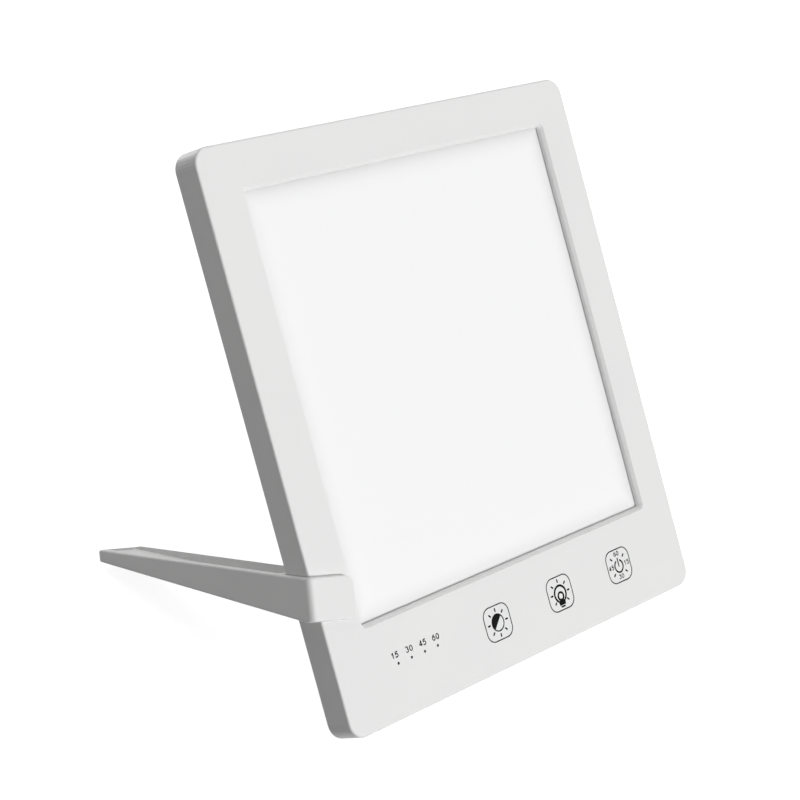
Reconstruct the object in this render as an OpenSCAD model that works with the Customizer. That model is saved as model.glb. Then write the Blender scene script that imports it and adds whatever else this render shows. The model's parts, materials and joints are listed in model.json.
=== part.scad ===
// Light therapy lamp: a thin light panel that leans back on a clip-on stand at its left edge.
// Millimetres. X runs to the right seen from the front, Y to the back and Z up.
// The origin is on the table, under the middle of the lamp.
// Panel places are written [x, depth, height]: x from the panel's middle, depth back from its
// front face and height up its slope from its bottom edge.

/* [Panel housing] */
// Width of the panel
panel_w = 210; // [200:1:225]
// Height of the panel, measured up its slope
panel_h = 227; // [215:1:245]
// Thickness of the panel, front face to back
panel_t = 13; // [12.7:0.1:14]
// Lean of the panel back from upright, in degrees
panel_lean = 33.4; // [32:0.1:36]
// Radius of the panel's four outline corners
corner_r = 7; // [5:0.5:10]
// Radius that rounds the panel's front and back edges
edge_r = 1; // [0.6:0.1:1.4]
// Thickness of the front face
face_t = 2; // [1.8:0.1:2.2]
// Thickness of the housing's side walls
wall_t = 2; // [1.6:0.1:2.2]
// Thickness of the back cover
cover_t = 2; // [1.6:0.1:2.2]
// Gap all round between the back cover and the side walls
cover_gap = 0.2; // [0.1:0.05:0.3]

/* [Window] */
// Width of the bezel left of the window
bezel_left = 19.7; // [19:0.1:20.5]
// Width of the bezel right of the window
bezel_right = 18.7; // [18:0.1:19.5]
// Width of the bezel above the window
bezel_top = 18.7; // [18:0.1:20]
// Height of the control band below the window
band_h = 39; // [38:0.5:42]
// Radius of the window's corners
window_r = 1.3; // [1:0.1:4]
// Width of the bevel round the window's front edge
window_bevel = 1.1; // [0.4:0.1:1.4]
// Depth of that bevel, in from the front face
bevel_depth = 1.25; // [0.8:0.05:1.6]
// How far the window's sides slope in behind the bevel
window_draft = 0.4; // [0.1:0.1:0.6]
// Thickness of the lip that frames the window inside
lip_t = 1.6; // [1.2:0.1:2]

/* [Optical stack] */
// How far the sheets reach past the window: above, below and on average at the sides
sheet_margin = 4.5; // [3.5:0.1:5]
// Thickness of the foam gasket behind the lip
gasket_t = 0.4; // [0.3:0.1:0.6]
// Thickness of the diffuser plate
diffuser_t = 2.1; // [1.2:0.1:2.2]
// Thickness of the prism film
film_t = 0.3; // [0.2:0.05:0.4]
// Thickness of the light guide
guide_t = 4.2; // [3:0.1:4.4]
// Thickness of the reflector sheet
reflector_t = 0.3; // [0.2:0.05:0.4]
// Thickness of the metal back plate
back_plate_t = 1; // [0.6:0.1:1.2]

/* [LED bars] */
// Distance of an LED bar's ends from the ends of the sheets
bar_margin = 3; // [2:0.1:8]
// Thickness of the bar's board
bar_t = 1; // [0.8:0.1:1.2]
// Number of LEDs on each bar
led_count = 24; // [16:1:26]
// Length of one LED package, along the bar
led_l = 3; // [2:0.1:3.5]
// Depth of one LED package, off the bar
led_d = 1; // [0.8:0.1:1.2]
// Width of one LED package, across the bar
led_w = 2.6; // [2:0.1:2.8]
// Thickness of the ribs that hold the sheets and the bars
rib_t = 1.4; // [1:0.1:1.6]

/* [Control board] */
// Gap between the control board and the rib above it
board_gap = 2; // [1.5:0.1:4]
// Thickness of the control board
board_t = 1.6; // [1.2:0.1:1.6]
// Height of the board's lower edge above the panel's bottom edge
board_low = 5; // [4:0.1:5.5]
// Distance of the board's left end from the panel's left side
board_left_gap = 20; // [18:0.5:22]
// Distance of the board's right end from the panel's right side
board_right_gap = 10; // [9.5:0.5:11]
// Thickness of the touch pads between the face and the board
touch_t = 1; // [0.8:0.1:1.2]
// Radius of a touch pad
touch_r = 6; // [5:0.1:7]
// Distance of the last touch pad from the panel's right side
touch_inset = 42.6; // [41:0.1:44]
// Distance between touch pads
touch_pitch = 39.4; // [38:0.1:40]
// Height of the touch pads above the panel's bottom edge
touch_v = 19.1; // [18:0.1:20]
// Distance of the first timer light from the panel's left side
timer_inset = 31.6; // [30:0.1:33]
// Distance between timer lights
timer_pitch = 7.4; // [6:0.1:8]
// Height of the timer lights above the panel's bottom edge
timer_v = 20.6; // [19:0.1:22]
// Radius of a timer light pipe
pipe_r = 0.5; // [0.4:0.05:0.8]
// Clearance round a pin, screw or light pipe in its hole
pin_gap = 0.05; // [0.03:0.01:0.08]

/* [Power inlet] */
// Radius of the inlet's barrel, for a 5.5 mm plug
barrel_r = 2.85; // [2.8:0.05:3]
// Depth of the inlet's barrel
barrel_l = 10; // [9:0.5:11]
// Radius of the inlet's centre pin
jack_pin_r = 1; // [0.8:0.05:1.2]
// Gap between the inlet's body and the middle of the flat cable above it
jack_cable_gap = 3; // [2.8:0.1:4]
// Length of the inlet's body, in from the side wall
jack_l = 15; // [14.5:0.5:16]
// Width of the inlet's body, up the panel
jack_w = 9; // [8.6:0.1:9.4]
// Thickness of the inlet's body, front to back
jack_t = 7.6; // [7.4:0.1:7.8]

/* [Screws] */
// Radius of a cover screw's head
cover_head_r = 2.3; // [2:0.1:2.4]
// Length of a cover screw's shank
cover_screw_l = 7; // [6:0.1:7.5]
// Radius of a cover screw's shank
cover_screw_r = 1; // [0.8:0.1:1.1]
// Radius of the posts that the cover screws bite in
post_r = 2.8; // [2.4:0.1:2.8]
// Radius of a board screw's shank
board_screw_r = 0.9; // [0.8:0.05:1]
// Radius of a board screw's head
board_head_r = 1.8; // [1.6:0.1:2]

/* [Stand] */
// Height of the clip's centre up the panel
clip_v = 55.6; // [50:0.1:62]
// Turn of the stand about the panel's normal, clockwise seen from the front, in degrees
clip_turn = 12; // [10:0.5:13]
// Length of the stand from the tab's front face to the tip
stand_l = 131.8; // [124:0.1:136]
// Width of the stand at the tab
tab_w = 22; // [20:0.1:23]
// Height of the tab
tab_h = 16.8; // [16:0.1:18]
// Thickness of the tab in front of the panel
tab_t = 2.1; // [1.8:0.1:2.4]
// Radius of the tab's free corners
tab_r = 4.6; // [3:0.1:5]
// Width of the stand at its tip
tip_w = 21; // [18:0.1:22]
// Height of the tip
tip_h = 5; // [4.6:0.1:5.6]
// Radius of the corner that wraps the panel's edge
wrap_r = 3.2; // [3:0.1:4.6]
// Radius of the tip's corners
tip_r = 3; // [2.5:0.1:4]
// Radius that rounds the stand's rims
rim_r = 0.9; // [0.6:0.1:1]
// Thickness of the stand's walls
stand_wall = 1.8; // [1.5:0.1:2]
// Least thickness of the clip's wall beside the panel's edge
clip_wall = 1.8; // [1.6:0.1:2.2]
// Thickness of the stand's floor, between its upper tray and its hollow underside
web_t = 2; // [1.6:0.1:2.2]
// Depth of the tray at the tip
tray_tip = 0.9; // [0.7:0.1:1]
// Depth of the tray at the panel
tray_root = 6.4; // [5:0.1:7]
// Thickness of the soft pad that grips the back cover
pad_t = 0.8; // [0.6:0.1:1]
// Running gap between the clip and the panel's faces
slide_gap = 0.1; // [0.05:0.05:0.15]
// Gap between the clip and the panel's edge
side_gap = 0.3; // [0.2:0.05:0.4]

/* [Hidden] */
$fn = 64;
HULL_FN = 32;
EPS = 0.01;
// How far a cut reaches past the faces that it opens
CUT = 1;
FAR = 60;

// Window and sheets
window_w = panel_w - bezel_left - bezel_right;
window_h = panel_h - bezel_top - band_h;
window_x = (bezel_left - bezel_right) / 2;
window_v = band_h + window_h / 2;
sheet_w = window_w + 2 * sheet_margin;
sheet_h = window_h + 2 * sheet_margin;
sheet_low = band_h - sheet_margin;
sheet_high = sheet_low + sheet_h;
gasket_inset = 0.2;

// Depths, counted from the back cover forward
stack_gap = 0.1;
cover_depth = panel_t - cover_t;
back_plate_depth = cover_depth - stack_gap - back_plate_t;
reflector_depth = back_plate_depth - reflector_t;
guide_depth = reflector_depth - guide_t;
film_depth = guide_depth - film_t;
diffuser_depth = film_depth - diffuser_t;
lip_depth = diffuser_depth - gasket_t;

// LED bars and the ribs round the sheets
bar_gap = 0.1;
bar_l = sheet_h - 2 * bar_margin;
led_pitch = bar_l / led_count;
rib_end = 12;
led_x = sheet_w / 2 + bar_gap;
bar_x = led_x + led_d;
bar_w = guide_t + 2 * film_t;
bar_low = window_v - bar_l / 2;
rib_depth = cover_depth - stack_gap - face_t;

// Control board
board_depth = face_t + touch_t;
board_back = board_depth + board_t;
board_left = board_left_gap - panel_w / 2;
board_right = panel_w / 2 - board_right_gap;
board_h = sheet_low - stack_gap - rib_t - board_gap - board_low;
touch_x = panel_w / 2 - touch_inset - 2 * touch_pitch;
timer_count = 4;
timer_x = timer_inset - panel_w / 2;
timer_end = timer_x + (timer_count - 1) * timer_pitch;
jack_end = panel_w / 2 - wall_t - jack_l;
board_inset = 4;
board_screw_spots = [
    [board_left + board_inset, board_low + board_inset],
    [(timer_end + touch_x) / 2, board_low + board_h - board_inset],
    [touch_x + 1.5 * touch_pitch, board_low + board_h - board_inset],
    [jack_end - 2 * board_inset, board_low + board_inset],
];
standoff_wall = 1.3;
standoff_r = board_screw_r + standoff_wall;
board_screw_depth = 1;
board_head_t = 1.2;
timer_led_gap = 0.1;
timer_led_t = touch_t - timer_led_gap;
timer_led_l = 1.6;
timer_led_w = 0.8;

// Parts on the board's back face: [along the board, across it, off it]
part_rise = 9;
part_v = board_low + part_rise;
controller_size = [10, 10, 1.2];
driver_size = [6, 5, 1.5];
coil_size = [8, 8, 4.2];
connector_size = [5, 5, 3];
can_r = 3.15;
can_h = 5;
can_pitch = 8;
can_inset = 30;
coil_step = 14;
driver_step = 17;
can_x = board_right - can_inset;
coil_x = can_x - coil_step;
driver_x = coil_x - driver_step;
connector_inset = 9;
connector_v = board_low + board_h - board_inset;

// Flat cables
ribbon_t = 0.5;
ribbon_w = 2;
ribbon_gap = 0.2;
ribbon_lift = 0.5;
ribbon_bend = 5;
ribbon_run = 0.6;
ribbon_x = bar_x + bar_t / 2;
connector_left = board_left + connector_inset;
connector_right = ribbon_x - ribbon_bend - ribbon_run - ribbon_gap - connector_size[0] / 2;

// Power inlet
inner_side = panel_w / 2 - wall_t;
jack_face_gap = 0.4;
jack_depth = face_t + jack_face_gap;
jack_axis = jack_depth + jack_t / 2;
jack_v = connector_v - jack_cable_gap - jack_w / 2;
nose_wall = 0.5;
nose_back = 0.3;
nose_r = barrel_r + nose_wall;
nose_l = wall_t - nose_back;
jack_gap = 0.1;
jack_pin_back = 0.6;
wing_t = 0.8;
wing_l = 4;
wing_w = 2;
wing_inset = 2;

// Cover screws, with their heads in the cover's counterbores
post_side_gap = 0.6;
post_end_gap = 4;
post_rise = 6;
post_x = panel_w / 2 - wall_t - post_side_gap - post_r;
post_end = wall_t + post_end_gap + post_r;
post_spots = [
    for (side = [-1, 1])
        for (v = [post_end, panel_h / 2 + post_rise, panel_h - post_end])
            [side * post_x, v]
];
head_depth = 1;
head_sink = 0.2;
slot_l = 2.6;
slot_w = 0.5;
slot_depth = 0.5;

// Clip and stand. The stand is drawn [x, y, z]: x across it from its left wall, y back from the
// tab's front face and z up from the tab's middle.
turn_s = sin(clip_turn);
turn_c = cos(clip_turn);
clip_x = -panel_w / 2 - side_gap - clip_wall - turn_s * tab_h / 2;
clip_depth = -slide_gap - tab_t;
jaw_y = tab_t + slide_gap + panel_t + slide_gap + pad_t;
jaw_t = 2.2;
tray_y = jaw_y + jaw_t;
pad_left = 5;
pad_inset = 2.6;
pad_low = -4.5;
pad_h = 11;

// The tip's height follows from the lean: its lowest corner stands on the table.
down_x = turn_s * cos(panel_lean);
down_y = sin(panel_lean);
down_z = -turn_c * cos(panel_lean);
panel_reach = (panel_t - edge_r) * sin(panel_lean) - edge_r * cos(panel_lean) + edge_r;
clip_reach = clip_depth * sin(panel_lean) - clip_v * cos(panel_lean);
tip_reach = clip_reach + (tip_w - tip_r) * down_x + (stand_l - tip_r) * down_y
    + (tip_r - rim_r) * norm([down_x, down_y]) + rim_r;
tip_low = (tip_reach - panel_reach) / -down_z;

function stand_low(y) = -tab_h / 2 + (tip_low - rim_r + tab_h / 2) * y / (stand_l - tip_r);
function stand_high(y) = tab_h / 2 + (tip_low - rim_r + tip_h - tab_h / 2) * y / (stand_l - tip_r);
function stand_far(y) = tab_w + (tip_w - tab_w) * y / stand_l;
function tray_floor(y) =
    stand_high(y) - tray_tip - (tray_root - tray_tip) * (stand_l - y) / (stand_l - tray_y);

// Place of the lamp over the origin, from the outermost points of the housing and the stand
left_reach = clip_x + turn_c * wrap_r + turn_s * (rim_r - tab_h / 2)
    - turn_c * (wrap_r - rim_r) - rim_r;
front_reach = edge_r * (cos(panel_lean) + sin(panel_lean) - 1);
back_x = -turn_s * sin(panel_lean);
back_y = cos(panel_lean);
back_z = turn_c * sin(panel_lean);
tip_back = clip_depth * cos(panel_lean) + clip_v * sin(panel_lean) + tip_r * back_x
    + (stand_l - tip_r) * back_y + (stand_high(stand_l - tip_r) - rim_r) * back_z
    + (tip_r - rim_r) * norm([back_x, back_y]) + rim_r;
top_back = (panel_h - edge_r) * sin(panel_lean) + (panel_t - edge_r) * cos(panel_lean) + edge_r;
centre_x = (panel_w / 2 + left_reach) / 2;
centre_y = (front_reach + max(tip_back, top_back)) / 2;

// Stands panel places on the table, leaning back
module in_panel() {
    translate([-centre_x, -centre_y, panel_reach])
        rotate([-panel_lean, 0, 0])
            children();
}

// Turns [x, height, thickness] drawings into panel places that start at a depth
module from_front(depth) {
    translate([0, depth, 0])
        mirror([0, 1, 0])
            rotate([90, 0, 0])
                children();
}

// Turns the stand's own places into panel places
module in_clip() {
    translate([clip_x, clip_depth, clip_v])
        rotate([0, clip_turn, 0])
            children();
}

module rounded_rect(w, h, r) {
    square([w, h - 2 * r], center = true);
    square([w - 2 * r, h], center = true);
    for (x = [-1, 1])
        for (y = [-1, 1])
            translate([x * (w / 2 - r), y * (h / 2 - r)])
                circle(r);
}

module window_outline(grow) {
    translate([window_x, window_v])
        rounded_rect(window_w + 2 * grow, window_h + 2 * grow, window_r + grow);
}

// The edge rounding turned about a corner post of radius r
module corner_ring(r, edge) {
    rotate_extrude($fn = HULL_FN)
        intersection() {
            translate([r - edge, 0])
                circle(edge, $fn = 16);
            translate([0, -edge])
                square([r, 2 * edge]);
        }
}

module housing_blank() {
    hull()
        for (x = [-1, 1])
            for (v = [corner_r, panel_h - corner_r])
                for (depth = [edge_r, panel_t - edge_r])
                    translate([x * (panel_w / 2 - corner_r), depth, v])
                        rotate([90, 0, 0])
                            corner_ring(corner_r, edge_r);
}

module housing_cavity() {
    from_front(face_t)
        linear_extrude(panel_t)
            translate([0, panel_h / 2])
                rounded_rect(panel_w - 2 * wall_t, panel_h - 2 * wall_t, corner_r - wall_t);
}

module window_lip() {
    from_front(face_t - EPS)
        linear_extrude(lip_depth - face_t + EPS)
            window_outline(lip_t);
}

// The bevel round the front edge, then the sloping sides behind it
module window_cut() {
    stages = [[-EPS, window_bevel], [bevel_depth, 0], [lip_depth, -window_draft]];
    for (i = [0, 1])
        hull()
            for (stage = [stages[i], stages[i + 1]])
                from_front(stage[0])
                    linear_extrude(EPS)
                        window_outline(stage[1]);
}

// Ribs that hold the sheets below and above and the LED bars at the sides
module holding_ribs() {
    rib_w = sheet_w - 2 * rib_end;
    for (v = [sheet_low - stack_gap - rib_t, sheet_high + stack_gap])
        translate([-rib_w / 2, face_t - EPS, v])
            cube([rib_w, rib_depth + EPS, rib_t]);
    for (side = [0, 1])
        mirror([side, 0, 0])
            translate([bar_x + bar_t + bar_gap, face_t - EPS, bar_low + rib_end])
                cube([rib_t, rib_depth + EPS, bar_l - 2 * rib_end]);
}

module front_frame() {
    color("#E8E8E7")
        in_panel()
            difference() {
                union() {
                    difference() {
                        housing_blank();
                        housing_cavity();
                    }
                    window_lip();
                    holding_ribs();
                    for (spot = post_spots)
                        translate([spot[0], 0, 0])
                            from_front(face_t - EPS)
                                translate([0, spot[1], 0])
                                    cylinder(r = post_r, h = rib_depth + EPS);
                    for (spot = board_screw_spots)
                        from_front(face_t - EPS)
                            translate([spot[0], spot[1], 0])
                                cylinder(r = standoff_r, h = touch_t + EPS);
                }
                window_cut();
                for (spot = post_spots)
                    from_front(panel_t - head_depth - cover_screw_l - pin_gap)
                        translate([spot[0], spot[1], 0])
                            cylinder(r = cover_screw_r + pin_gap, h = panel_t);
                for (spot = board_screw_spots)
                    from_front(board_screw_depth - pin_gap)
                        translate([spot[0], spot[1], 0])
                            cylinder(r = board_screw_r + pin_gap, h = panel_t);
                for (i = [0:timer_count - 1])
                    from_front(-CUT)
                        translate([timer_x + i * timer_pitch, timer_v, 0])
                            cylinder(r = pipe_r + pin_gap, h = face_t + 2 * CUT);
                translate([inner_side - CUT, jack_axis, jack_v])
                    rotate([0, 90, 0])
                        cylinder(r = nose_r + jack_gap, h = wall_t + 2 * CUT);
            }
}

module back_cover() {
    cover_w = panel_w - 2 * (wall_t + cover_gap);
    cover_h = panel_h - 2 * (wall_t + cover_gap);
    cover_r = corner_r - wall_t - cover_gap;
    color("#E4E4E3")
        in_panel()
            difference() {
                from_front(cover_depth)
                    translate([0, panel_h / 2, 0])
                        linear_extrude(cover_t)
                            rounded_rect(cover_w, cover_h, cover_r);
                for (spot = post_spots) {
                    from_front(cover_depth - CUT)
                        translate([spot[0], spot[1], 0])
                            cylinder(r = cover_screw_r + 2 * pin_gap, h = cover_t + 2 * CUT);
                    from_front(panel_t - head_depth)
                        translate([spot[0], spot[1], 0])
                            cylinder(r = cover_head_r + 2 * pin_gap, h = head_depth + CUT);
                }
            }
}

// A flat sheet behind the window, in the middle of the panel
module sheet(depth, t, margin) {
    from_front(depth)
        linear_extrude(t)
            translate([0, window_v])
                square([window_w + 2 * margin, window_h + 2 * margin], center = true);
}

module window_gasket() {
    color("#C8C8C8")
        in_panel()
            from_front(lip_depth)
                linear_extrude(gasket_t)
                    difference() {
                        window_outline(lip_t);
                        window_outline(gasket_inset);
                    }
}

module diffuser_plate() {
    color("#FAFAFA")
        in_panel()
            sheet(diffuser_depth, diffuser_t, sheet_margin);
}

module prism_film() {
    color("#E9EDF0")
        in_panel()
            sheet(film_depth, film_t, sheet_margin);
}

module light_guide() {
    color("#DDEBF0")
        in_panel()
            sheet(guide_depth, guide_t, sheet_margin);
}

module reflector_sheet() {
    color("#FFFFFF")
        in_panel()
            sheet(reflector_depth, reflector_t, sheet_margin);
}

module back_plate() {
    color("#B9BCC0")
        in_panel()
            sheet(back_plate_depth, back_plate_t, sheet_margin);
}

module led_bar() {
    translate([bar_x, guide_depth + guide_t / 2 - bar_w / 2, bar_low])
        cube([bar_t, bar_w, bar_l]);
}

module led_row() {
    row_l = (led_count - 1) * led_pitch;
    for (i = [0:led_count - 1])
        translate([
            led_x,
            guide_depth + guide_t / 2 - led_w / 2,
            window_v - row_l / 2 + i * led_pitch - led_l / 2,
        ])
            cube([led_d, led_w, led_l]);
}

module led_bar_left() {
    color("#F2F2EE")
        in_panel()
            mirror([1, 0, 0])
                led_bar();
}

module led_bar_right() {
    color("#F2F2EE")
        in_panel()
            led_bar();
}

module leds_left() {
    color("#F4E9A8")
        in_panel()
            mirror([1, 0, 0])
                led_row();
}

module leds_right() {
    color("#F4E9A8")
        in_panel()
            led_row();
}

// A flat cable on edge: out of its connector, round one bend and up to the LED bar's end
module led_ribbon(connector_x) {
    start_x = connector_x + connector_size[0] / 2 + ribbon_gap;
    bend_x = ribbon_x - ribbon_bend;
    bend_v = connector_v + ribbon_bend;
    from_front(board_back + ribbon_lift)
        linear_extrude(ribbon_w) {
            translate([start_x, connector_v - ribbon_t / 2])
                square([bend_x - start_x + EPS, ribbon_t]);
            translate([bend_x, bend_v])
                intersection() {
                    difference() {
                        circle(ribbon_bend + ribbon_t / 2);
                        circle(ribbon_bend - ribbon_t / 2);
                    }
                    translate([0, -2 * ribbon_bend])
                        square([2 * ribbon_bend, 2 * ribbon_bend]);
                }
            translate([ribbon_x - ribbon_t / 2, bend_v - EPS])
                square([ribbon_t, bar_low - ribbon_gap - bend_v + EPS]);
        }
}

module led_ribbon_left() {
    color("#EFEFEA")
        in_panel()
            mirror([1, 0, 0])
                led_ribbon(-connector_left);
}

module led_ribbon_right() {
    color("#EFEFEA")
        in_panel()
            led_ribbon(connector_right);
}

module control_board() {
    notch_w = jack_w + 2 * jack_gap;
    notch_x = jack_end - jack_gap;
    color("#2E6B45")
        in_panel()
            from_front(board_depth)
                linear_extrude(board_t)
                    difference() {
                        translate([board_left, board_low])
                            square([board_right - board_left, board_h]);
                        translate([notch_x, jack_v - notch_w / 2])
                            square([board_right, notch_w]);
                        for (spot = board_screw_spots)
                            translate(spot)
                                circle(board_screw_r + pin_gap);
                    }
}

// A rectangular part on the board's back face, centred on a place along the board
module on_board(x, v, size) {
    translate([x - size[0] / 2, board_back, v - size[1] / 2])
        cube([size[0], size[2], size[1]]);
}

module controller_chip() {
    color("#2B2B2D")
        in_panel()
            on_board(touch_x + touch_pitch / 2, part_v, controller_size);
}

module driver_chip() {
    color("#2B2B2D")
        in_panel()
            on_board(driver_x, part_v, driver_size);
}

module power_coil() {
    color("#4A4A4C")
        in_panel()
            on_board(coil_x, part_v, coil_size);
}

module capacitors() {
    color("#6E7F95")
        in_panel()
            for (i = [0, 1])
                from_front(board_back)
                    translate([can_x + can_pitch * i, part_v, 0])
                        cylinder(r = can_r, h = can_h);
}

module board_connectors() {
    color("#F0EFE8")
        in_panel()
            for (x = [connector_left, connector_right])
                on_board(x, connector_v, connector_size);
}

// A foil-faced foam disc that lies between the front face and the board
module touch_pad(index) {
    color("#B87A4B")
        in_panel()
            from_front(face_t)
                translate([touch_x + index * touch_pitch, touch_v, 0])
                    cylinder(r = touch_r, h = touch_t);
}

module touch_pad_brightness() {
    touch_pad(0);
}

module touch_pad_colour() {
    touch_pad(1);
}

module touch_pad_power() {
    touch_pad(2);
}

module timer_leds() {
    color("#F4E9A8")
        in_panel()
            for (i = [0:timer_count - 1])
                translate([
                    timer_x + i * timer_pitch - timer_led_l / 2,
                    board_depth - timer_led_t,
                    timer_v - timer_led_w / 2,
                ])
                    cube([timer_led_l, timer_led_t, timer_led_w]);
}

module timer_light_pipes() {
    color("#3A3A3C")
        in_panel()
            for (i = [0:timer_count - 1])
                from_front(0)
                    translate([timer_x + i * timer_pitch, timer_v, 0])
                        cylinder(r = pipe_r, h = face_t);
}

module dc_jack() {
    color("#1E1E20")
        in_panel()
            difference() {
                union() {
                    translate([jack_end, jack_depth, jack_v - jack_w / 2])
                        cube([jack_l, jack_t, jack_w]);
                    translate([inner_side - EPS, jack_axis, jack_v])
                        rotate([0, 90, 0])
                            cylinder(r = nose_r, h = nose_l + EPS);
                    translate([jack_end + wing_inset, board_back, jack_v - jack_w / 2 - wing_w])
                        cube([wing_l, wing_t, jack_w + 2 * wing_w]);
                }
                translate([inner_side + nose_l - barrel_l, jack_axis, jack_v])
                    rotate([0, 90, 0])
                        cylinder(r = barrel_r, h = barrel_l + CUT);
                translate([jack_end - CUT, jack_axis, jack_v])
                    rotate([0, 90, 0])
                        cylinder(r = jack_pin_r + pin_gap, h = jack_l);
            }
}

module jack_pin() {
    color("#C9A24A")
        in_panel()
            translate([jack_end, jack_axis, jack_v])
                rotate([0, 90, 0])
                    cylinder(r = jack_pin_r, h = jack_l - jack_pin_back);
}

module cover_screws() {
    color("#A9ABAE")
        in_panel()
            for (spot = post_spots)
                from_front(panel_t - head_depth)
                    translate([spot[0], spot[1], 0]) {
                        difference() {
                            cylinder(r = cover_head_r, h = head_depth - head_sink);
                            for (turn = [0, 90])
                                rotate(turn)
                                    translate([
                                        -slot_l / 2,
                                        -slot_w / 2,
                                        head_depth - head_sink - slot_depth,
                                    ])
                                        cube([slot_l, slot_w, slot_depth + CUT]);
                        }
                        translate([0, 0, -cover_screw_l])
                            cylinder(r = cover_screw_r, h = cover_screw_l + EPS);
                    }
}

module board_screws() {
    color("#A9ABAE")
        in_panel()
            for (spot = board_screw_spots)
                from_front(board_screw_depth)
                    translate([spot[0], spot[1], 0]) {
                        cylinder(r = board_screw_r, h = board_back - board_screw_depth + EPS);
                        translate([0, 0, board_back - board_screw_depth])
                            cylinder(r = board_head_r, h = board_head_t);
                    }
}

// The stand before it is cut: one tapering bar with rounded rims, tab end to tip
module stand_blank() {
    posts = [
        [wrap_r, wrap_r, wrap_r],
        [tab_w - rim_r, rim_r, rim_r],
        [tip_r, stand_l - tip_r, tip_r],
        [tip_w - tip_r, stand_l - tip_r, tip_r],
    ];
    hull()
        for (post = posts)
            for (z = [stand_low(post[1]) + rim_r, stand_high(post[1]) - rim_r])
                translate([post[0], post[1], z])
                    corner_ring(post[2], rim_r);
}

// The space that the panel's edge fills, square to the panel and open to the right
module clip_slot() {
    translate([-panel_w / 2 - side_gap, -slide_gap, 0])
        cube([2 * tab_w, jaw_y - tab_t, 2 * clip_v]);
}

// Rounds the tab's two free corners
module tab_corners() {
    for (side = [0, 1])
        mirror([0, 0, side])
            difference() {
                translate([tab_w - tab_r, -CUT, tab_h / 2 - tab_r])
                    cube([tab_r + CUT, tab_t + 2 * CUT, tab_r + CUT]);
                translate([tab_w - tab_r, -2 * CUT, tab_h / 2 - tab_r])
                    rotate([-90, 0, 0])
                        cylinder(r = tab_r, h = tab_t + 4 * CUT);
            }
}

// An outline across the stand, extruded from its left wall to its right
module side_profile(points) {
    rotate([90, 0, 90])
        linear_extrude(2 * tab_w)
            polygon(points);
}

// The open tray on top: rounded in plan, with a floor that falls away from the tip's
module upper_tray() {
    r = tip_r - stand_wall;
    end_y = stand_l - stand_wall;
    spots = [
        [stand_wall + r, tray_y + r],
        [stand_far(tray_y) - stand_wall - r, tray_y + r],
        [stand_wall + r, end_y - r],
        [stand_far(end_y) - stand_wall - r, end_y - r],
    ];
    intersection() {
        translate([0, 0, -FAR])
            linear_extrude(2 * FAR)
                hull()
                    for (spot = spots)
                        translate(spot)
                            circle(r, $fn = HULL_FN);
        side_profile([
            [0, tray_floor(0)],
            [stand_l, tray_floor(stand_l)],
            [stand_l, FAR],
            [0, FAR],
        ]);
    }
}

// The hollow underside, with cross ribs left standing
module underside_hollow() {
    rib_count = 4;
    start_y = tray_y;
    end_y = stand_l - tip_r - stand_wall;
    step = (end_y - start_y) / (rib_count + 1);
    difference() {
        intersection() {
            translate([0, 0, -FAR])
                linear_extrude(2 * FAR)
                    polygon([
                        [stand_wall, start_y],
                        [stand_far(start_y) - stand_wall, start_y],
                        [stand_far(end_y) - stand_wall, end_y],
                        [stand_wall, end_y],
                    ]);
            side_profile([
                [0, -FAR],
                [stand_l, -FAR],
                [stand_l, tray_floor(stand_l) - web_t],
                [0, tray_floor(0) - web_t],
            ]);
        }
        for (i = [1:rib_count])
            translate([0, start_y + i * step - rib_t / 2, -FAR])
                cube([2 * tab_w, rib_t, 2 * FAR]);
    }
}

module stand_bracket() {
    color("#E7E7E6")
        in_panel()
            difference() {
                in_clip()
                    stand_blank();
                clip_slot();
                in_clip() {
                    tab_corners();
                    upper_tray();
                    underside_hollow();
                }
            }
}

// The soft pad on the clip's rear jaw
module grip_pad() {
    color("#9A9A9A")
        in_panel()
            in_clip()
                translate([pad_left, jaw_y - pad_t, pad_low])
                    cube([stand_far(jaw_y) - pad_inset - pad_left, pad_t, pad_h]);
}

front_frame();
back_cover();
window_gasket();
diffuser_plate();
prism_film();
light_guide();
reflector_sheet();
back_plate();
led_bar_left();
led_bar_right();
leds_left();
leds_right();
led_ribbon_left();
led_ribbon_right();
control_board();
controller_chip();
driver_chip();
power_coil();
capacitors();
board_connectors();
touch_pad_brightness();
touch_pad_colour();
touch_pad_power();
timer_leds();
timer_light_pipes();
dc_jack();
jack_pin();
cover_screws();
board_screws();
stand_bracket();
grip_pad();
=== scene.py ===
"""Dresses the CAD model of a light therapy lamp: a thin light panel on a clip-on side stand.

Panel places are (right, up, out) in millimetres: right from the panel's left side, up its slope
from its bottom edge and out in front of its face.
"""

import json
import math

import bmesh
import bpy
from mathutils import Euler, Matrix, Vector


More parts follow.
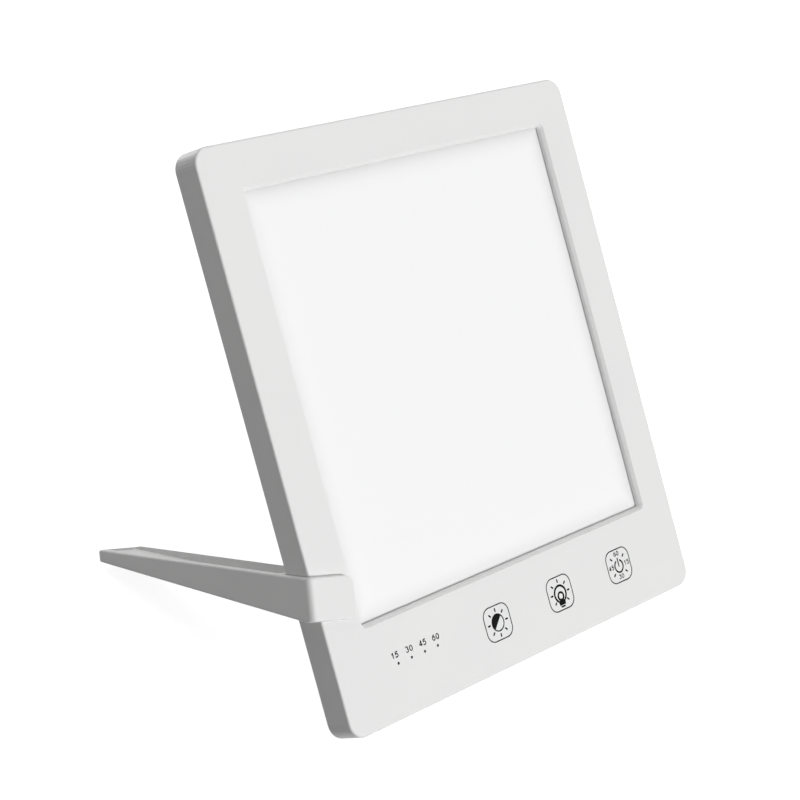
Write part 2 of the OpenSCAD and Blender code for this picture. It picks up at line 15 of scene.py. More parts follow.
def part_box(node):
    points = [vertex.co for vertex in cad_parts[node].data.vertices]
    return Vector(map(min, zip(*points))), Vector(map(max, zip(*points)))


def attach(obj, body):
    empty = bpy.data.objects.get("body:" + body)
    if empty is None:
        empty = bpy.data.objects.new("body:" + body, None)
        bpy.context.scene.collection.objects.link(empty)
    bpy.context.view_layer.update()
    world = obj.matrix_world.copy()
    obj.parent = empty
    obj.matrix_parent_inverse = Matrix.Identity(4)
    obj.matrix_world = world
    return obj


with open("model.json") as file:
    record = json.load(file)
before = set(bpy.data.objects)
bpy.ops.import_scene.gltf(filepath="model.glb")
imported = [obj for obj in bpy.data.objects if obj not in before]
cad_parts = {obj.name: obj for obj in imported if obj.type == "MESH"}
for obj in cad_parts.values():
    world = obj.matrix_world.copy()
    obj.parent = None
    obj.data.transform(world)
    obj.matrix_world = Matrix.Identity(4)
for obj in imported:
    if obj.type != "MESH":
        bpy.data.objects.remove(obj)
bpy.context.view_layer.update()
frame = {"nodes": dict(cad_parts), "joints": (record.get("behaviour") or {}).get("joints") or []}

MM = 0.001

# The panel's thickness and the rounding of its outer edges, in millimetres
PANEL_T = 13
EDGE_R = 1

# The window's sides in panel places, and how far in and how steeply the painted shade along its
# edges darkens the diffuser
WINDOW_LOW = (19.7, 39, 0)
WINDOW_HIGH = (191.3, 208.3, 0)
EDGE_SHADE_REACH = 12
EDGE_SHADE_POWER = 3

# The camera: its panel place, its turn from the panel's own axes in degrees, its lens and sensor
# in millimetres and the nearest thing that it sees, in metres
CAMERA_PLACE = (-508.36, 165.59, 601.57)
CAMERA_TURN = (10.945, -42.794, -20.824)
CAMERA_LENS = 96.43
SENSOR_W = 36
NEAREST_SEEN = 0.01

# Light: each lamp's direction towards it, strength and spread in degrees
KEY_LIGHT = ((0.15, -0.985, 0.09), 2.18, 10)
TOP_LIGHT = ((0.1, 0.3, 1), 0.82, 70)
BACK_LIGHT = ((0.25, 1, 0.1), 0.4, 10)
# A small lamp that only shows as a gloss on the rounded edges
EDGE_LIGHT = ((-0.25, -0.85, 0.49), 2.0, 6)
# The room's light from the left and from the right
ROOM_LEFT = 0.19
ROOM_RIGHT = 0.42
# The studio paper: its side in metres, the grey that it bounces and how much it is lifted
FLOOR_SIZE = 8
PAPER_COLOUR = "#A4A4A4"
PAPER_GLOW = 0.9

# Moulded plastics: the size of their flow marks and of the patches in their sheen, in
# millimetres, and how much those patches change the roughness
FLOW_MARK = 35
SHEEN_PATCH = 12
SHEEN_CHANGE = 0.04
# Blender's waves repeat after this much of a scaled coordinate
WAVE_REPEAT = 2 * math.pi / 20

# Printed marks, in millimetres and degrees: the ink's gap to the face and its thickness
INK_LIFT = 0.004
INK_T = 0.02
# Points nearer than this are one point
ONE_POINT = 0.001
# Steps along a ring, the half disc, a digit's curve, a field's corner and a line's round end
RING_STEPS = 48
DISC_STEPS = 32
DIGIT_STEPS = 24
CORNER_STEPS = 10
END_STEPS = 8
# A digit's width, the gap to the next one and its line, as shares of its height
DIGIT_W = 0.72
DIGIT_GAP = 0.13
DIGIT_LINE = 0.18
# The timer's numbers: their middle's height up the panel, their size and each one's place across
TIMER_V = 24.1
TIMER_DIGIT_H = 2.5
TIMER_TIMES = (("15", 30.7), ("30", 38.7), ("45", 46.3), ("60", 53.7))
# The places of the timer lights, and the dark ring of painted shade laid round each over the gap
# to the bezel
TIMER_LIGHTS = ((31.6, 20.6), (39, 20.6), (46.4, 20.6), (53.8, 20.6))
LIGHT_SHADE_RING_R = 0.53
LIGHT_SHADE_RING_W = 0.08
# The centres of the three touch marks, whose row rises slightly towards the right
MARKS = ((88.7, 18.9), (127.9, 19.25), (167.3, 19.6))
# The rounded field round each mark
FIELD_W = 14.9
FIELD_H = 13.9
FIELD_R = 4
FIELD_LINE_W = 0.48
# The rays of all three marks, from the mark's centre
RAY_FROM = 4.7
RAY_TO = 5.7
RAY_W = 0.72
# The brightness mark: its ring, its half disc and its rays
SUN_R = 3.4
SUN_LINE_W = 0.55
SUN_HALF_R = 3.3
SUN_HALF = (45, 225)
SUN_RAYS = range(0, 360, 45)
# The bulb: two rings whose centres lie below the mark's, its base, its foot and its rays
BULB_R = 3.45
BULB_DROP = 0.3
BULB_CLOSED = (-55, 235)
BULB_HEART_R = 1.6
BULB_HEART_DROP = 1.3
BULB_LINE_W = 0.93
BULB_BASE = ((-2.2, -3), (-1.8, -5), (1.8, -5), (2.2, -3))
BULB_FOOT = ((-1, -5.6), (1, -5.6))
BULB_FOOT_W = 0.7
BULB_RAYS = (-42, 0, 42, 90, 138, 180, 222)
# The power sign: its ring, its stick, its ticks and the minutes round it
POWER_R = 2.6
POWER_DROP = 0.3
POWER_CLOSED = (115, 425)
POWER_LINE_W = 0.74
POWER_STICK_L = 3.3
POWER_STICK_W = 0.65
POWER_RAYS = (41, 139, 221, 319)
POWER_DIGIT_H = 2.1
POWER_MINUTES = (("60", 0, 5.1), ("15", 5.2, 0), ("30", 0, -4.8), ("45", -5.0, 0))


def panel_matrix():
    """Turns panel places in millimetres into places in the row frame in metres."""
    slope = Vector(frame["joints"][0]["axis"])
    s, c = slope.y, slope.z
    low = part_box("front_frame")[0] / MM
    # The front face's lower left corner, as it would be without the rounding of the edges
    x = low.x
    y = low.y - EDGE_R * (c + s - 1)
    z = (PANEL_T - EDGE_R) * s - EDGE_R * c + EDGE_R
    place = Matrix(((1, 0, 0, x), (0, s, -c, y), (0, c, s, z), (0, 0, 0, 1)))
    return Matrix.Scale(MM, 4) @ place


PANEL = panel_matrix()


# ---- Camera, lights, floor ----


def linear(code):
    """The linear colour of an sRGB hex value."""
    parts = [int(code[i : i + 2], 16) / 255 for i in (1, 3, 5)]
    return [p / 12.92 if p <= 0.04045 else ((p + 0.055) / 1.055) ** 2.4 for p in parts] + [1]


def add(tree, kind, settings=None, links=None):
    """Adds a shader node, sets its inputs or properties and links its inputs."""
    made = tree.nodes.new("ShaderNode" + kind)
    for name, value in (settings or {}).items():
        if isinstance(name, int) or name in made.inputs:
            made.inputs[name].default_value = value
        else:
            setattr(made, name, value)
    for name, socket in (links or {}).items():
        tree.links.new(socket, made.inputs[name])
    return made


def make_camera():
    """The camera at the photograph's place."""
    data = bpy.data.cameras.new("camera")
    data.lens = CAMERA_LENS
    data.sensor_width = SENSOR_W
    data.clip_start = NEAREST_SEEN
    camera = bpy.data.objects.new("camera", data)
    turn = Euler([math.radians(a) for a in CAMERA_TURN], "XYZ").to_matrix()
    camera.matrix_world = (
        Matrix.Translation(PANEL @ Vector(CAMERA_PLACE))
        @ (PANEL.to_quaternion().to_matrix() @ turn).to_4x4()
    )
    bpy.context.scene.collection.objects.link(camera)
    bpy.context.scene.camera = camera


def make_lamp(name, direction, strength, spread, gloss_only=False):
    """A sun lamp. With gloss_only it lights nothing and only shows as a gloss."""
    data = bpy.data.lights.new(name, "SUN")
    data.energy = strength
    data.angle = math.radians(spread)
    lamp = bpy.data.objects.new(name, data)
    lamp.rotation_euler = Vector(direction).to_track_quat("Z", "Y").to_euler()
    lamp.visible_diffuse = not gloss_only
    bpy.context.scene.collection.objects.link(lamp)


def seen_ray(tree):
    """1 on rays from the camera, a gloss or a glass, so that all three see a white background."""
    path = add(tree, "LightPath")
    mirrored = add(
        tree,
        "Math",
        {"operation": "MAXIMUM"},
        {0: path.outputs["Is Camera Ray"], 1: path.outputs["Is Glossy Ray"]},
    )
    both = add(
        tree,
        "Math",
        {"operation": "MAXIMUM"},
        {0: mirrored.outputs[0], 1: path.outputs["Is Transmission Ray"]},
    )
    return both.outputs[0]


def make_world():
    """A white studio that gives more light from the right than from the left."""
    world = bpy.data.worlds.new("studio")
    bpy.context.scene.world = world
    world.use_nodes = True
    tree = world.node_tree
    tree.nodes.clear()
    place = add(tree, "TexCoord")
    # From -1 at the far left to 1 at the far right
    across = add(tree, "SeparateXYZ", links={"Vector": place.outputs["Generated"]})
    strength = add(
        tree,
        "MapRange",
        {"From Min": -1, "To Min": ROOM_LEFT, "To Max": ROOM_RIGHT},
        {"Value": across.outputs["X"]},
    )
    room = add(
        tree,
        "Background",
        {"Color": linear("#FFFFFF")},
        {"Strength": strength.outputs["Result"]},
    )
    white = add(tree, "Background", {"Color": linear("#FFFFFF"), "Strength": 1})
    mix = add(
        tree,
        "MixShader",
        links={0: seen_ray(tree), 1: room.outputs[0], 2: white.outputs[0]},
    )
    add(tree, "OutputWorld", links={"Surface": mix.outputs[0]})


def paper_sweep():
    """Studio paper: grey to the light it bounces, lifted to white where it is seen."""
    made = bpy.data.materials.new("paper_sweep")
    made.use_nodes = True
    tree = made.node_tree
    tree.nodes.clear()
    paper = add(tree, "BsdfDiffuse", {"Color": linear(PAPER_COLOUR)})
    glow = add(tree, "Emission", {"Color": linear("#FFFFFF"), "Strength": PAPER_GLOW})
    lifted = add(tree, "AddShader", links={0: paper.outputs[0], 1: glow.outputs[0]})
    mix = add(
        tree,
        "MixShader",
        links={0: seen_ray(tree), 1: paper.outputs[0], 2: lifted.outputs[0]},
    )
    add(tree, "OutputMaterial", links={"Surface": mix.outputs[0]})
    return made


def make_floor():
    """The sheet of studio paper that the lamp stands on."""
    half = FLOOR_SIZE / 2
    mesh = bpy.data.meshes.new("floor")
    corners = [(-half, -half, 0), (half, -half, 0), (half, half, 0), (-half, half, 0)]
    mesh.from_pydata(corners, [], [(0, 1, 2, 3)])
    mesh.materials.append(paper_sweep())
    floor = bpy.data.objects.new("floor", mesh)
    bpy.context.scene.collection.objects.link(floor)


# ---- Materials ----


def new_material(name, colour, roughness, **settings):
    """A new material, its node tree and its shader, with one colour and roughness all over."""
    made = bpy.data.materials.new(name)
    made.use_nodes = True
    tree = made.node_tree
    tree.nodes.clear()
    shader = add(tree, "BsdfPrincipled", {"Base Color": linear(colour), "Roughness": roughness})
    for key, value in settings.items():
        shader.inputs[key.replace("_", " ")].default_value = value
    add(tree, "OutputMaterial", links={"Surface": shader.outputs[0]})
    return made, tree, shader


def mottle(tree, size, stretch=(1, 1, 1), detail=2):
    """Blotches about size millimetres across, drawn out along each axis by its stretch."""
    place = add(tree, "TexCoord")
    scaled = add(
        tree,
        "Mapping",
        {"Scale": [1 / (size * MM * along) for along in stretch]},
        {"Vector": place.outputs["Object"]},
    )
    made = add(tree, "TexNoise", {"Scale": 1, "Detail": detail}, {"Vector": scaled.outputs[0]})
    return made.outputs["Fac"]


def relief(tree, shader, height, depth):
    """Gives the surface a relief of depth millimetres from a height pattern."""
    made = add(tree, "Bump", {"Distance": depth * MM}, {"Height": height})
    tree.links.new(made.outputs["Normal"], shader.inputs["Normal"])


def shade(tree, shader, pattern, dark, light):
    """Lets the colour run from dark to light over a pattern."""
    made = add(
        tree,
        "Mix",
        {"data_type": "RGBA", 6: linear(dark), 7: linear(light)},
        {0: pattern},
    )
    tree.links.new(made.outputs[2], shader.inputs["Base Color"])


def vary_roughness(tree, shader, pattern, low, high):
    """Lets the roughness run from low to high over a pattern."""
    made = add(tree, "MapRange", {"To Min": low, "To Max": high}, {"Value": pattern})
    tree.links.new(made.outputs["Result"], shader.inputs["Roughness"])


def moulded(name, dark, light, roughness, grain, depth, **settings):
    """A moulded plastic: faint flow marks in its tone and the tool's fine grain in its face."""
    made, tree, shader = new_material(name, light, roughness, **settings)
    shade(tree, shader, mottle(tree, FLOW_MARK), dark, light)
    relief(tree, shader, mottle(tree, grain, detail=3), depth)
    low, high = roughness - SHEEN_CHANGE, roughness + SHEEN_CHANGE
    vary_roughness(tree, shader, mottle(tree, SHEEN_PATCH), low, high)
    return made


def white_abs():
    """Moulded ABS with a spark-eroded face: matt, and soft highlights on its edges.
    The real grain is about 0.1 mm; it is drawn at 0.5 mm so that it shows."""
    return moulded("white_abs", "#E2E2E2", "#E7E7E6", 0.5, 0.5, 0.012, IOR=1.53)


def painted_edge_shade(tree):
    """Mask of the painted shade along the window's edges: 1 at the window's sides, falling to 0
    at the shade's reach in millimetres from the nearest one.
    """
    location, turn, scale = PANEL.inverted().decompose()
    place = add(tree, "TexCoord")
    flat = add(
        tree,
        "Mapping",
        {"Location": location, "Rotation": turn.to_euler(), "Scale": scale},
        {"Vector": place.outputs["Object"]},
    ).outputs[0]
    from_low = add(tree, "VectorMath", {"operation": "SUBTRACT", 1: WINDOW_LOW}, {0: flat})
    from_high = add(tree, "VectorMath", {"operation": "SUBTRACT", 0: WINDOW_HIGH}, {1: flat})
    nearer = add(
        tree,
        "VectorMath",
        {"operation": "MINIMUM"},
        {0: from_low.outputs[0], 1: from_high.outputs[0]},
    )
    sides = add(tree, "SeparateXYZ", links={"Vector": nearer.outputs[0]})
    nearest = add(
        tree,
        "Math",
        {"operation": "MINIMUM"},
        {0: sides.outputs["X"], 1: sides.outputs["Y"]},
    )
    fall = add(
        tree,
        "MapRange",
        {"From Max": EDGE_SHADE_REACH, "To Min": 1, "To Max": 0},
        {"Value": nearest.outputs[0]},
    )
    curve = add(
        tree,
        "Math",
        {"operation": "POWER", 1: EDGE_SHADE_POWER},
        {0: fall.outputs["Result"]},
    )
    return curve.outputs[0]


def opal_acrylic():
    """Cast opal acrylic with a satin face: an even white. Near the window's sides it carries
    painted shade, darker towards the bezel, standing in for the light that is lost under the
    bezel."""
    made, tree, shader = new_material("opal_acrylic", "#F5F5F5", 0.6, IOR=1.49)
    # Painted shade: the white darkens towards the window's sides.
    shade(tree, shader, painted_edge_shade(tree), "#F5F5F5", "#DBDBDB")
    relief(tree, shader, mottle(tree, 1.2, detail=3), 0.004)
    return made


def closed_cell_foam():
    """Cut polyethylene foam: matt light grey with cells about 0.4 mm across."""
    made, tree, shader = new_material("closed_cell_foam", "#C8C8C8", 0.9, IOR=1.5)
    place = add(tree, "TexCoord")
    cells = add(
        tree,
        "TexVoronoi",
        {"Scale": 1 / (0.4 * MM)},
        {"Vector": place.outputs["Object"]},
    )
    shade(tree, shader, cells.outputs["Distance"], "#B4B4B4", "#CECECE")
    relief(tree, shader, cells.outputs["Distance"], 0.1)
    return made


def prism_film():
    """Embossed polyester film: glossy, with fine ridges that run up the panel.
    The real ridges are about 0.05 mm apart; they are drawn 1.2 mm apart so that they show."""
    made, tree, shader = new_material("prism_film", "#E9EDF0", 0.2, IOR=1.64)
    place = add(tree, "TexCoord")
    ridges = add(
        tree,
        "TexWave",
        {"Scale": WAVE_REPEAT / (1.2 * MM), "bands_direction": "X", "wave_profile": "TRI"},
        {"Vector": place.outputs["Object"]},
    )
    shade(tree, shader, ridges.outputs["Fac"], "#DDE3E8", "#F1F4F6")
    relief(tree, shader, ridges.outputs["Fac"], 0.05)
    return made


def clear_acrylic():
    """Extruded clear acrylic, printed with white dots 1.5 mm apart that lead the light out. It is
    drawn pale and glossy but not see-through, because a white sheet lies behind it."""
    made, tree, shader = new_material("clear_acrylic", "#E6F0F2", 0.12, IOR=1.49)
    place = add(tree, "TexCoord")
    dots = add(
        tree,
        "TexVoronoi",
        {"Scale": 1 / (1.5 * MM), "Randomness": 0.0},
        {"Vector": place.outputs["Object"]},
    )
    shade(tree, shader, dots.outputs["Distance"], "#FFFFFF", "#D6E6EA")
    return made


def foamed_polyester():
    """White foamed polyester sheet: matt, faintly clouded."""
    made, tree, shader = new_material("foamed_polyester", "#FAFAFA", 0.7, IOR=1.57)
    shade(tree, shader, mottle(tree, 4), "#F2F2F2", "#FCFCFC")
    relief(tree, shader, mottle(tree, 0.6), 0.01)
    return made


def mill_aluminium():
    """Rolled aluminium sheet as it leaves the mill: bright, streaked along its roll direction."""
    made, tree, shader = new_material("mill_aluminium", "#C4C6C9", 0.38, Metallic=1.0)
    streaks = mottle(tree, 0.5, stretch=(1, 40, 40), detail=4)
    shade(tree, shader, streaks, "#B4B6BA", "#D0D2D5")
    vary_roughness(tree, shader, streaks, 0.3, 0.48)
    relief(tree, shader, streaks, 0.01)
    return made


def drawn_aluminium():
    """A deep-drawn can: smooth, with faint level bands and a grey-blue cast."""
    made, tree, shader = new_material("drawn_aluminium", "#A9B2BE", 0.3, Metallic=1.0)
    bands = mottle(tree, 0.4, stretch=(30, 30, 1), detail=3)
    shade(tree, shader, bands, "#98A2AF", "#B8C0CA")
    vary_roughness(tree, shader, bands, 0.24, 0.36)
    return made


def white_solder_mask():
    """Glossy white lacquer over a thin board: slightly uneven in tone and face."""
    made, tree, shader = new_material("white_solder_mask", "#F2F2EE", 0.35, IOR=1.55)
    shade(tree, shader, mottle(tree, 0.8), "#EAEAE4", "#F5F5F1")
    relief(tree, shader, mottle(tree, 0.5), 0.01)
    return made


def phosphor():
    """Yellow phosphor in silicone: waxy and slightly grainy."""
    made, tree, shader = new_material("phosphor", "#F4E38F", 0.35, IOR=1.41)
    shade(tree, shader, mottle(tree, 0.3), "#ECD67A", "#F8ECA8")
    return made


def flat_cable():
    """White polyester flat cable: its conductors show as ridges 1 mm apart."""
    made, tree, shader = new_material("flat_cable", "#EFEFEA", 0.4, IOR=1.57)
    place = add(tree, "TexCoord")
    ridges = add(
        tree,
        "TexWave",
        {"Scale": WAVE_REPEAT / (1 * MM), "bands_direction": "Y"},
        {"Vector": place.outputs["Object"]},
    )
    shade(tree, shader, ridges.outputs["Fac"], "#DCDCD4", "#F4F4F0")
    relief(tree, shader, ridges.outputs["Fac"], 0.04)
    return made


def green_solder_mask():
    """Green lacquer over copper: darker where bare laminate lies between the traces, which are
    0.8 mm apart."""
    made, tree, shader = new_material("green_solder_mask", "#2E6B45", 0.3, IOR=1.55)
    place = add(tree, "TexCoord")
    traces = add(
        tree,
        "TexBrick",
        {
            "Scale": 1 / MM,
            "Brick Width": 9.0,
            "Row Height": 0.8,
            "Mortar Size": 0.12,
            "Color1": linear("#2F7048"),
            "Color2": linear("#2A6541"),
            "Mortar": linear("#1D4D30"),
        },
        {"Vector": place.outputs["Object"]},
    )
    tree.links.new(traces.outputs["Color"], shader.inputs["Base Color"])
    relief(tree, shader, traces.outputs["Fac"], -0.02)
    return made


def moulded_epoxy():
    """Transfer-moulded epoxy: near black and matt."""
    return moulded("moulded_epoxy", "#1C1C1E", "#262628", 0.6, 0.2, 0.008, IOR=1.55)


def ferrite():
    """Sintered ferrite: dark grey, dull, with a stony grain."""
    return moulded("ferrite", "#3A3A3D", "#4C4C50", 0.65, 0.3, 0.02, IOR=2.2)


def natural_nylon():
    """Uncoloured nylon: off-white and a little waxy."""
    return moulded("natural_nylon", "#E6E2D4", "#F1EEE4", 0.42, 0.4, 0.008, IOR=1.53)


def copper_foil():
    """Rolled copper foil, slightly wrinkled where it is glued to its foam."""
    made, tree, shader = new_material("copper_foil", "#C98A5E", 0.32, Metallic=1.0)
    wrinkles = mottle(tree, 2.5, detail=4)
    shade(tree, shader, wrinkles, "#B87A4B", "#D79B70")
    relief(tree, shader, wrinkles, 0.05)
    return made


def smoked_polycarbonate():
    """Dark tinted polycarbonate, its ends cut matt: black dots while the timer lights are off."""
    made, tree, shader = new_material(
        "smoked_polycarbonate",
        "#0E0E10",
        0.6,
        IOR=1.585,
        Specular_IOR_Level=0.2,
    )
    shade(tree, shader, mottle(tree, 0.4), "#0A0A0C", "#121214")
    return made


def black_nylon():
    """Glass-filled black nylon: matt, with short pale fibres in its skin."""
    made, tree, shader = new_material("black_nylon", "#1B1B1C", 0.5, IOR=1.53)
    fibres = mottle(tree, 0.25, stretch=(1, 4, 1), detail=3)
    shade(tree, shader, fibres, "#141415", "#262628")
    relief(tree, shader, fibres, 0.01)
    return made


def nickel_plate():
    """Nickel over turned brass: warm, bright, with faint turning rings."""
    made, tree, shader = new_material("nickel_plate", "#C9C3B4", 0.22, Metallic=1.0)
    rings = mottle(tree, 0.2, stretch=(1, 20, 20), detail=2)
    shade(tree, shader, rings, "#B9B2A0", "#D6D1C4")
    vary_roughness(tree, shader, rings, 0.16, 0.3)
    return made


def zinc_plate():
    """Zinc-plated steel: grey, with a slight mottled shine."""
    made, tree, shader = new_material("zinc_plate", "#A9ABAE", 0.35, Metallic=1.0)
    crystals = mottle(tree, 0.6, detail=3)
    shade(tree, shader, crystals, "#97999D", "#BABCBF")
    vary_roughness(tree, shader, crystals, 0.28, 0.44)
    return made


def grip_silicone():
    """Moulded silicone rubber: grey, soft and matt."""
    return moulded("grip_silicone", "#858585", "#929292", 0.75, 0.3, 0.01, IOR=1.41)


def screen_ink():
    """Screen-printed ink: black and dead matt, with the mesh's faint unevenness 0.2 mm apart."""
    made, tree, shader = new_material(
        "screen_ink",
        "#0A0A0A",
        0.9,
        IOR=1.5,
        Specular_IOR_Level=0.1,
    )
    shade(tree, shader, mottle(tree, 0.2), "#060606", "#101010")
    return made


# Each material with the CAD nodes that it finishes
FINISHES = (
    (white_abs, ("front_frame", "back_cover", "stand_bracket")),
    (opal_acrylic, ("diffuser_plate",)),
    (closed_cell_foam, ("window_gasket",)),
    (prism_film, ("prism_film",)),
    (clear_acrylic, ("light_guide",)),
    (foamed_polyester, ("reflector_sheet",)),
    (mill_aluminium, ("back_plate",)),
    (white_solder_mask, ("led_bar_left", "led_bar_right")),
    (phosphor, ("leds_left", "leds_right", "timer_leds")),
    (flat_cable, ("led_ribbon_left", "led_ribbon_right")),
    (green_solder_mask, ("control_board",)),
    (moulded_epoxy, ("controller_chip", "driver_chip")),
    (ferrite, ("power_coil",)),
    (drawn_aluminium, ("capacitors",)),
    (natural_nylon, ("board_connectors",)),
    (copper_foil, ("touch_pad_brightness", "touch_pad_colour", "touch_pad_power")),
    (smoked_polycarbonate, ("timer_light_pipes",)),
    (black_nylon, ("dc_jack",)),
    (nickel_plate, ("jack_pin",)),
    (zinc_plate, ("cover_screws", "board_screws")),
    (grip_silicone, ("grip_pad",)),
)


def dress_nodes():
    """Gives each CAD node its material."""
    for finish, nodes in FINISHES:
        material = finish()
        for name in nodes:
            data = frame["nodes"][name].data
            data.materials.clear()
            data.materials.append(material)


# ---- Printed marks, drawn flat in panel millimetres ----


def moved(point, right, up):
    """A point's place after a move."""
    return (point[0] + right, point[1] + up)


def polar(centre, radius, angle):
    """A point at an angle in degrees, anticlockwise from the right."""
    a = math.radians(angle)
    return (centre[0] + radius * math.cos(a), centre[1] + radius * math.sin(a))


def fill(ink, outline):
    """A filled shape."""
    ink.faces.new([ink.verts.new((x, v, 0)) for x, v in outline])


def band(ink, outer, inner, closed=True):
    """The strip between two outlines with the same number of points."""
    a = [ink.verts.new((x, v, 0)) for x, v in outer]
    b = [ink.verts.new((x, v, 0)) for x, v in inner]
    last = len(a) if closed else len(a) - 1
    for i in range(last):
        j = (i + 1) % len(a)
        ink.faces.new((a[i], a[j], b[j], b[i]))


def arc(centre, radius, first, last, steps=RING_STEPS):
    """Points on a circle from one angle to another."""
    return [polar(centre, radius, first + (last - first) * i / steps) for i in range(steps + 1)]


def ring(ink, centre, radius, width, first=0, last=360):
    """A ring, or the part of one between two angles, of a line's width."""
    whole = last - first >= 360
    outer = arc(centre, radius + width / 2, first, last)
    inner = arc(centre, radius - width / 2, first, last)
    if whole:
        outer.pop()
        inner.pop()
    band(ink, outer, inner, closed=whole)


def bar(ink, start_point, end_point, width):
    """A straight line with round ends."""
    run = math.degrees(math.atan2(end_point[1] - start_point[1], end_point[0] - start_point[0]))
    outline = arc(start_point, width / 2, run + 90, run + 270, END_STEPS)
    outline += arc(end_point, width / 2, run - 90, run + 90, END_STEPS)
    fill(ink, outline)


def rounded_field(centre, width, height, radius):
    """The outline of a rectangle with round corners."""
    outline = []
    for turn, (sx, sv) in enumerate(((1, 1), (-1, 1), (-1, -1), (1, -1))):
        middle = (centre[0] + sx * (width / 2 - radius), centre[1] + sv * (height / 2 - radius))
        outline += arc(middle, radius, 90 * turn, 90 * turn + 90, CORNER_STEPS)
    return outline


def field_line(ink, centre):
    """The thin rounded square round each touch place."""
    sides = [
        rounded_field(centre, FIELD_W + 2 * grow, FIELD_H + 2 * grow, FIELD_R + grow)
        for grow in (FIELD_LINE_W / 2, -FIELD_LINE_W / 2)
    ]
    band(ink, *sides)


def rays(ink, centre, angles):
    """Short lines that point away from a mark's centre."""
    for angle in angles:
        bar(ink, polar(centre, RAY_FROM, angle), polar(centre, RAY_TO, angle), RAY_W)


def stroke(ink, points, width):
    """A curved line through points, closed where its ends meet."""
    closed = math.dist(points[0], points[-1]) < ONE_POINT
    if closed:
        points = points[:-1]
    last = len(points) - 1
    sides = ([], [])
    for i, (x, v) in enumerate(points):
        x0, v0 = points[i - 1] if closed or i > 0 else points[0]
        x1, v1 = points[(i + 1) % len(points)] if closed or i < last else points[last]
        half = width / 2 / math.hypot(x1 - x0, v1 - v0)
        for side, sign in zip(sides, (1, -1)):
            side.append((x + sign * half * (v0 - v1), v + sign * half * (x1 - x0)))
    band(ink, *sides, closed=closed)


def oval(centre, reach, first, last):
    """Points on an ellipse from one angle to another."""
    step = (last - first) / DIGIT_STEPS
    turns = [math.radians(first + step * i) for i in range(DIGIT_STEPS + 1)]
    x, v = centre
    return [(x + reach[0] * math.cos(a), v + reach[1] * math.sin(a)) for a in turns]


# The middle lines of plain digits in a box one wide and one high
DIGITS = {
    "0": (oval((0.5, 0.5), (0.5, 0.5), 0, 360),),
    "1": (((0.28, 0.78), (0.62, 1)), ((0.62, 1), (0.62, 0))),
    "3": (
        oval((0.45, 0.77), (0.45, 0.23), 155, -90),
        oval((0.45, 0.27), (0.55, 0.27), 90, -155),
    ),
    "4": (((1, 0.26), (0, 0.26)), ((0, 0.26), (0.74, 1)), ((0.74, 1), (0.74, 0))),
    "5": (
        ((0.92, 1), (0.2, 1)),
        ((0.2, 1), (0.08, 0.56)),
        oval((0.45, 0.33), (0.53, 0.33), 135, -155),
    ),
    "6": (
        oval((0.5, 0.32), (0.5, 0.32), 0, 360),
        oval((0.9, 0.32), (0.9, 0.68), 180, 95),
    ),
}


def lettering(ink, number, centre, height):
    """A number's digits, of a given height, centred on a place."""
    line = DIGIT_LINE * height
    box_w, box_h = DIGIT_W * height - line, height - line
    pitch = (DIGIT_W + DIGIT_GAP) * height
    for i, digit in enumerate(number):
        left = centre[0] + (i - (len(number) - 1) / 2) * pitch - box_w / 2
        low = centre[1] - box_h / 2
        for middle in DIGITS[digit]:
            points = [(left + x * box_w, low + v * box_h) for x, v in middle]
            if len(points) == 2:
                bar(ink, *points, line)
            else:
                stroke(ink, points, line)


def fix_order(elements, place):
    """Sorts points or faces by place, since bmesh's tools leave them in a new order each run."""
    ranks = {element: rank for rank, element in enumerate(sorted(elements, key=place))}
    elements.sort(key=ranks.get)


def print_on_panel(name, ink, material):
    """Gives flat marks their ink's thickness and lays them on the panel's face."""
    bmesh.ops.remove_doubles(ink, verts=ink.verts[:], dist=ONE_POINT)
    bmesh.ops.recalc_face_normals(ink, faces=ink.faces[:])
    for face in ink.faces:
        if face.normal.z < 0:
            face.normal_flip()
    bmesh.ops.solidify(ink, geom=ink.faces[:], thickness=INK_T)
    fix_order(ink.verts, lambda vert: vert.co[:])
    fix_order(ink.faces, lambda face: face.calc_center_median()[:])
    top = max(v.co.z for v in ink.verts)
    ink.transform(PANEL @ Matrix.Translation((0, 0, INK_LIFT + INK_T - top)))
    mesh = bpy.data.meshes.new(name)
    ink.to_mesh(mesh)
    ink.free()
    mesh.materials.append(material)
    piece = bpy.data.objects.new(name, mesh)
    bpy.context.scene.collection.objects.link(piece)
    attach(piece, "panel")


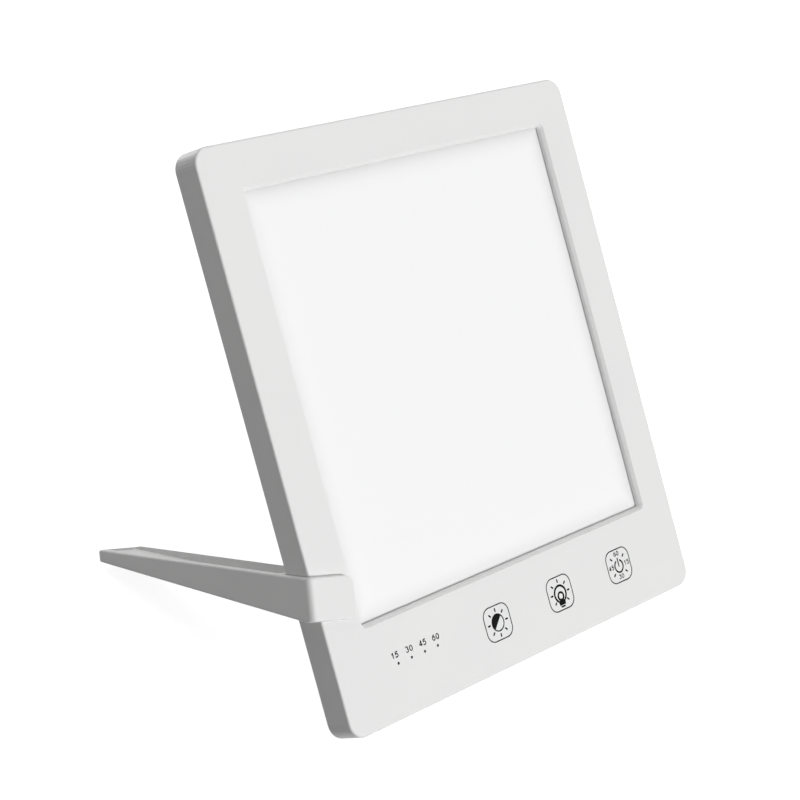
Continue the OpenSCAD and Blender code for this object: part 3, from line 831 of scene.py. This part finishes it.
def timer_digits():
    """The minutes over the timer lights, and a dark ring of painted shade round each light."""
    ink = bmesh.new()
    for number, x in TIMER_TIMES:
        lettering(ink, number, (x, TIMER_V), TIMER_DIGIT_H)
    for centre in TIMER_LIGHTS:
        # Painted shade: a dark ring over the shaded gap round each light.
        ring(ink, centre, LIGHT_SHADE_RING_R, LIGHT_SHADE_RING_W)
    return ink


def brightness_mark():
    """A disc half filled on its upper left, with eight rays."""
    ink = bmesh.new()
    centre = MARKS[0]
    field_line(ink, centre)
    ring(ink, centre, SUN_R, SUN_LINE_W)
    fill(ink, arc(centre, SUN_HALF_R, *SUN_HALF, DISC_STEPS))
    rays(ink, centre, SUN_RAYS)
    return ink


def light_mark():
    """A bulb: a large ring open over its base, a small ring inside and seven rays."""
    ink = bmesh.new()
    centre = MARKS[1]
    field_line(ink, centre)
    ring(ink, moved(centre, 0, -BULB_DROP), BULB_R, BULB_LINE_W, *BULB_CLOSED)
    ring(ink, moved(centre, 0, -BULB_HEART_DROP), BULB_HEART_R, BULB_LINE_W)
    fill(ink, [moved(centre, x, v) for x, v in BULB_BASE])
    bar(ink, *[moved(centre, x, v) for x, v in BULB_FOOT], BULB_FOOT_W)
    rays(ink, centre, BULB_RAYS)
    return ink


def power_mark():
    """A power sign with the timer's minutes round it, and ticks between them."""
    ink = bmesh.new()
    centre = MARKS[2]
    field_line(ink, centre)
    hub = moved(centre, 0, -POWER_DROP)
    ring(ink, hub, POWER_R, POWER_LINE_W, *POWER_CLOSED)
    bar(ink, hub, moved(hub, 0, POWER_STICK_L), POWER_STICK_W)
    for number, x, v in POWER_MINUTES:
        lettering(ink, number, moved(centre, x, v), POWER_DIGIT_H)
    rays(ink, centre, POWER_RAYS)
    return ink


def make_marks():
    """Prints the four marks, each a piece with its function's name."""
    material = screen_ink()
    for mark in (timer_digits, brightness_mark, light_mark, power_mark):
        print_on_panel(mark.__name__, mark(), material)


make_camera()
make_lamp("key_light", *KEY_LIGHT)
make_lamp("top_light", *TOP_LIGHT)
make_lamp("back_light", *BACK_LIGHT)
make_lamp("edge_light", *EDGE_LIGHT, gloss_only=True)
make_world()
make_floor()
dress_nodes()
make_marks()

bpy.context.scene.view_settings.view_transform = "Standard"
